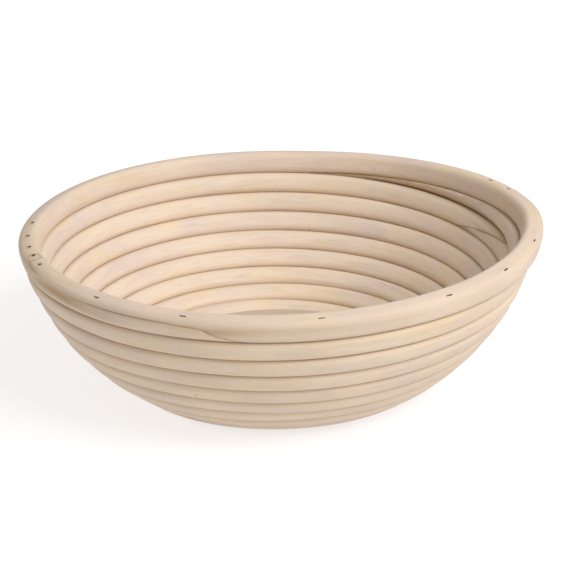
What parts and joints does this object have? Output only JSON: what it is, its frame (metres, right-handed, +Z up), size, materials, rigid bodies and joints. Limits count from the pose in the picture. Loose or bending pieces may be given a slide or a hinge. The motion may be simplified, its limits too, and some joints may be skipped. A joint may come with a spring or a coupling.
{
  "type": "banneton basket",
  "caption": "Round proofing basket of coiled natural cane: a spiral wall on a flat base with slats at its centre, under a closed rim hoop.",
  "frame": {"origin": "on the table, at the middle of the basket's outline seen from above", "axes": "+Z up, out of the basket's mouth; +X to the side where the hoop stands highest over the spiral's tapered end; +Y to the back, where the spiral's taper runs out"},
  "size_m": [0.2498, 0.2486, 0.0815],
  "materials": {
    "rim_cane": "peeled cane, satin, fine lengthwise grain",
    "coil_cane": "peeled cane, satin, fine lengthwise grain",
    "slat_cane": "peeled cane, satin, fine lengthwise grain",
    "staple_wire": "dulled dark wire",
    "nail_wire": "dulled dark wire"
  },
  "bodies": {
    "root": {"base_slat_1": "slat_cane", "base_slat_2": "slat_cane", "base_slat_3": "slat_cane", "base_slat_4": "slat_cane", "base_staples": "staple_wire", "coil_length_1": "coil_cane", "coil_length_2": "coil_cane", "coil_length_3": "coil_cane", "coil_length_4": "coil_cane", "rim_hoop": "rim_cane", "rim_joint_nails": "nail_wire", "rim_staples": "staple_wire", "slat_nails": "nail_wire", "splice_nails": "nail_wire", "wall_staples": "staple_wire"}
  },
  "joints": []
}
